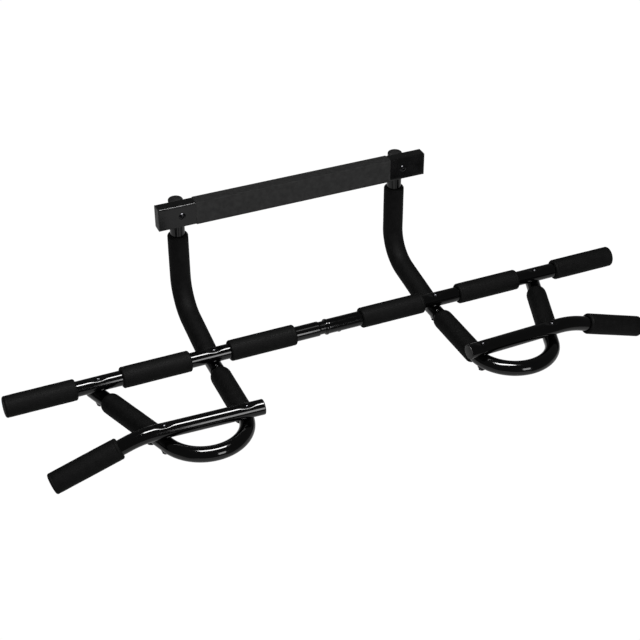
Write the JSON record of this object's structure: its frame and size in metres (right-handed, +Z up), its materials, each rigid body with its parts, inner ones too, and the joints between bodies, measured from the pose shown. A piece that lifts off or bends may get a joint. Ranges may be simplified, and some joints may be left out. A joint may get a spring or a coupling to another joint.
{
  "type": "doorway pull-up bar",
  "caption": "Doorway pull-up bar: a padded main bar over looped front legs with drooping side handles, held by curved uprights and a flat header bar that hooks over the door trim.",
  "frame": {"origin": "middle of the header pad's underside, where the bar rests on the door trim", "axes": "+X to the user's right along the main bar, +Y away from the user through the wall, +Z up"},
  "size_m": [1.1, 0.4071, 0.2746],
  "materials": {
    "tube_paint": "gloss black powder coat on steel tube",
    "grip_foam": "matte closed-cell foam",
    "pad_rubber": "matte smooth skin",
    "plug_plastic": "moulded satin",
    "fastener_steel": "black oxide"
  },
  "bodies": {
    "root": {"main_bar_left": "tube_paint", "u_frame_left": "tube_paint", "upright_left": "tube_paint", "handle_left": "tube_paint", "main_bar_right": "tube_paint", "u_frame_right": "tube_paint", "upright_right": "tube_paint", "handle_right": "tube_paint", "header_bar": "tube_paint", "bar_grip_outer_left": "grip_foam", "bar_grip_middle_left": "grip_foam", "bar_grip_inner_left": "grip_foam", "leg_sleeve_outer_left": "grip_foam", "leg_sleeve_inner_left": "grip_foam", "upright_sleeve_left": "grip_foam", "handle_grip_left": "grip_foam", "upright_cap_left": "plug_plastic", "header_plug_left": "plug_plastic", "handle_plug_left": "plug_plastic", "u_frame_plug_left": "plug_plastic", "bar_grip_outer_right": "grip_foam", "bar_grip_middle_right": "grip_foam", "bar_grip_inner_right": "grip_foam", "leg_sleeve_outer_right": "grip_foam", "leg_sleeve_inner_right": "grip_foam", "upright_sleeve_right": "grip_foam", "handle_grip_right": "grip_foam", "upright_cap_right": "plug_plastic", "header_plug_right": "plug_plastic", "handle_plug_right": "plug_plastic", "u_frame_plug_right": "plug_plastic", "header_pad": "pad_rubber", "bar_bolts": "fastener_steel", "bar_washers": "fastener_steel", "bar_nuts": "fastener_steel", "handle_bolts": "fastener_steel", "handle_washers": "fastener_steel", "handle_nuts": "fastener_steel", "header_bolts": "fastener_steel", "header_washers": "fastener_steel", "header_nuts": "fastener_steel", "joint_screw": "fastener_steel", "joint_insert": "fastener_steel"}
  },
  "joints": []
}
